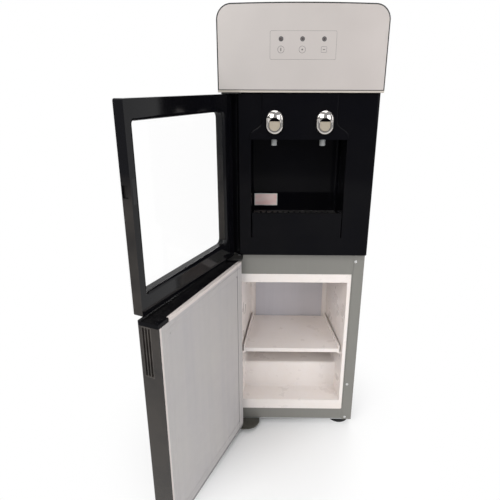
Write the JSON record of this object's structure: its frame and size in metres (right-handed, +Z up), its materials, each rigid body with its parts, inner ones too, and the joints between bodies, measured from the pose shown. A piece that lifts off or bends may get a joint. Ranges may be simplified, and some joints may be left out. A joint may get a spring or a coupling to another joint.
{
  "type": "water cooler",
  "caption": "Free-standing hot and cold water dispenser with a glass-doored tap bay over a small refrigerated cabinet with its own insulated door.",
  "frame": {"origin": "on the floor, in the middle of the footprint that the machine takes with both doors standing open as stored", "axes": "+Z up, +Y to the rear of the machine, +X to the right seen from the front"},
  "size_m": [0.4534, 0.6236, 0.989],
  "materials": {
    "casing_grey": "satin",
    "inner_steel": "satin",
    "black_gloss": "gloss",
    "black_satin": "satin",
    "head_silver": "satin",
    "liner_white": "satin",
    "chrome": "polished",
    "push_plate": "satin",
    "spout_grey": "satin",
    "door_glass": "polished",
    "lens": "gloss",
    "gasket_grey": "matte",
    "rubber_black": "matte",
    "foam": "matte",
    "aluminium": "satin",
    "copper": "satin",
    "board_green": "satin",
    "condenser_black": "satin",
    "zinc": "satin",
    "black_satin_metal": "satin",
    "switch_red": "gloss",
    "switch_green": "gloss"
  },
  "bodies": {
    "casing": {"side_panel_left": "casing_grey", "side_panel_right": "casing_grey", "cabinet_front_frame": "casing_grey", "back_panel": "casing_grey", "base_pan": "inner_steel", "rear_feet": "rubber_black", "casing_screws": "zinc", "head_surround": "black_satin", "head_panel": "head_silver", "indicator_lenses": "lens", "control_board": "board_green", "top_cover": "black_satin", "bay_moulding": "black_gloss", "door_strike": "black_satin", "tap_hoses": "spout_grey", "tank_deck": "inner_steel", "cold_tank": "inner_steel", "cold_tank_jacket": "foam", "hot_tank": "inner_steel", "drain_spigot": "zinc", "cabinet_liner": "liner_white", "cabinet_insulation": "foam", "evaporator_plate": "aluminium", "top_hinge": "black_satin_metal", "middle_hinge": "black_satin_metal", "bottom_hinge": "black_satin_metal", "compressor": "condenser_black", "compressor_grommets": "rubber_black", "condenser_tube": "condenser_black", "condenser_wires": "condenser_black", "condenser_brackets": "zinc", "refrigerant_pipes": "copper", "switch_plate": "black_satin", "cord_gland": "rubber_black", "tap_left_body": "spout_grey", "tap_left_hood": "chrome", "tap_right_body": "spout_grey", "tap_right_hood": "chrome"},
    "upper_door": {"upper_door_frame": "black_gloss", "upper_door_glass": "door_glass", "upper_door_magnet": "black_satin"},
    "lower_door": {"lower_door_shell": "black_gloss", "lower_door_top_cap": "black_gloss", "lower_door_grip": "black_satin", "lower_door_inner_panel": "liner_white", "lower_door_gasket": "gasket_grey", "lower_door_insulation": "foam"},
    "left_push_plate": {"tap_left_button": "push_plate"},
    "right_push_plate": {"tap_right_button": "push_plate"},
    "tray": {"drip_tray": "black_gloss"},
    "grid": {"drip_grid": "black_satin"},
    "cabinet_shelf": {"shelf": "liner_white"},
    "seat": {"bottle_seat": "black_satin"},
    "heating_rocker": {"heating_switch": "switch_red"},
    "cooling_rocker": {"cooling_switch": "switch_green"},
    "cold_knob": {"thermostat_knob": "black_satin"},
    "cap": {"drain_cap": "black_satin"},
    "left_foot": {"levelling_foot_left": "rubber_black"},
    "right_foot": {"levelling_foot_right": "rubber_black"}
  },
  "joints": [
    {"name": "upper_door_hinge", "type": "hinge", "parent": "casing", "child": "upper_door", "pos_m": [-0.08339, -0.02115, 0.653], "axis": [0, 0, -1], "range_deg": [-114.4, 5.6]},
    {"name": "lower_door_hinge", "type": "hinge", "parent": "casing", "child": "lower_door", "pos_m": [-0.08339, -0.02115, 0.245], "axis": [0, 0, -1], "range_deg": [-112.8, 7.2]},
    {"name": "left_tap_press", "type": "slide", "parent": "casing", "child": "left_push_plate", "axis": [0, 1, 0], "range_m": [0, 0.004], "stiffness_N_per_m": 400},
    {"name": "right_tap_press", "type": "slide", "parent": "casing", "child": "right_push_plate", "axis": [0, 1, 0], "range_m": [0, 0.004], "stiffness_N_per_m": 400},
    {"name": "drip_tray_slide", "type": "slide", "parent": "casing", "child": "tray", "axis": [0, -1, 0], "range_m": [0, 0.09]},
    {"name": "drip_grid_lift", "type": "slide", "parent": "tray", "child": "grid", "axis": [0, 0, 1], "range_m": [0, 0.06]},
    {"name": "shelf_slide", "type": "slide", "parent": "casing", "child": "cabinet_shelf", "axis": [0, -1, 0], "range_m": [0, 0.15]},
    {"name": "bottle_seat_lift", "type": "slide", "parent": "casing", "child": "seat", "axis": [0, 0, 1], "range_m": [0, 0.08]},
    {"name": "heating_switch_rock", "type": "hinge", "parent": "casing", "child": "heating_rocker", "pos_m": [0.14481, 0.28785, 0.64], "axis": [1, 0, 0], "range_deg": [0, 16]},
    {"name": "cooling_switch_rock", "type": "hinge", "parent": "casing", "child": "cooling_rocker", "pos_m": [0.17081, 0.28785, 0.64], "axis": [1, 0, 0], "range_deg": [0, 16]},
    {"name": "cold_control_turn", "type": "hinge", "parent": "casing", "child": "cold_knob", "pos_m": [0.15781, 0.28985, 0.69], "axis": [0, 1, 0], "range_deg": [0, 270]},
    {"name": "drain_cap_off", "type": "slide", "parent": "casing", "child": "cap", "axis": [0, 1, 0], "range_m": [0, 0.03]},
    {"name": "left_foot_turn", "type": "hinge", "parent": "casing", "child": "left_foot", "pos_m": [-0.06819, 0.03785, 0.01], "axis": [0, 0, 1], "range_deg": [-720, 720]},
    {"name": "right_foot_turn", "type": "hinge", "parent": "casing", "child": "right_foot", "pos_m": [0.19381, 0.03785, 0.01], "axis": [0, 0, 1], "range_deg": [-720, 720]}
  ]
}
